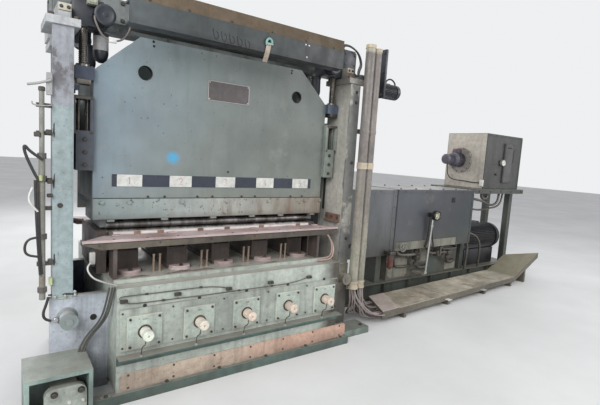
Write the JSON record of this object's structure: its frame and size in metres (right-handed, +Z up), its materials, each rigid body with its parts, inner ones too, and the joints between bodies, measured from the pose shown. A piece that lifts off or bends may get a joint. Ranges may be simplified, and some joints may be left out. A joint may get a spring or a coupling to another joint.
{
  "type": "sheet roller leveller",
  "caption": "Multi-roll strip leveller of a cut-to-length line: portal stand with a height-adjustable upper roll beam, spindle-set lower bed, side drive and cable tray.",
  "frame": {"origin": "floor level on the roll stand centre line, in the plane of the upper beam front plate", "axes": "+X along the rolls towards the drive, +Y with the strip from the entry side, +Z up"},
  "size_m": [6.3174, 1.624, 2.645],
  "materials": {
    "base_paint": "dirty",
    "beam_paint": "satin, dusty",
    "bed_paint": "satin, oily dust",
    "blower_paint": "blue grey",
    "board_brown": "rust brown, dusty",
    "column_paint": "satin, worn and dusty",
    "cream_paint": "cream, grimy",
    "dark_machine": "oily",
    "fittings": "oily",
    "guard_paint": "satin grey-blue, dusty",
    "hose_black": "dull",
    "motor_paint": "beige grey",
    "nameplate": "weathered",
    "pipe_grey": "dusty zinc",
    "plate_paint": "satin, smeared",
    "rail_paint": "dirty",
    "roll_steel": "ground, oiled",
    "scale_ends": "white and black blocks",
    "screw_steel": "greased",
    "strip_paint": "satin, worn lower edge",
    "table_steel": "rust-filmed",
    "tray_olive": "dusty olive"
  },
  "bodies": {
    "stand": {"adjusting_spindles": "cream_paint", "backup_rollers": "roll_steel", "base_cross_members": "rail_paint", "base_rails": "rail_paint", "blower": "blower_paint", "cable_bundle": "hose_black", "cable_tray": "tray_olive", "column_caps": "cream_paint", "conduits": "pipe_grey", "cover_sheet": "cream_paint", "crossbeams": "beam_paint", "drive_base": "base_paint", "edge_board": "board_brown", "entry_table": "table_steel", "exit_table": "table_steel", "foot_block": "rail_paint", "foot_box": "rail_paint", "foot_cover": "bed_paint", "front_beam": "beam_paint", "front_columns": "column_paint", "front_ledge": "rail_paint", "guide_rolls": "roll_steel", "height_drive": "dark_machine", "jack_drives": "dark_machine", "jack_screws": "screw_steel", "joint_guard": "guard_paint", "lower_back_rolls": "roll_steel", "lower_bed": "bed_paint", "lower_roll_frame": "base_paint", "lower_work_rolls": "roll_steel", "main_motor": "guard_paint", "motor_housing": "motor_paint", "oil_fittings": "fittings", "pinion_gearbox": "guard_paint", "pipe_clamps": "fittings", "rear_columns": "column_paint", "side_beams": "beam_paint", "side_pipes": "pipe_grey", "side_plates": "column_paint", "spindle_panel": "bed_paint", "spindle_plates": "strip_paint", "table_supports": "bed_paint"},
    "upper_beam": {"front_plate": "plate_paint", "guide_shoes": "dark_machine", "jack_nuts": "dark_machine", "lip_strip": "strip_paint", "nameplate": "nameplate", "rear_plate": "plate_paint", "scale_board": "scale_ends", "upper_back_rolls": "roll_steel", "upper_frame": "beam_paint", "upper_webs": "beam_paint", "upper_work_rolls": "roll_steel"}
  },
  "joints": [
    {"name": "beam_lift", "type": "slide", "parent": "stand", "child": "upper_beam", "axis": [0, 0, 1], "range_m": [0, 0.06]}
  ]
}
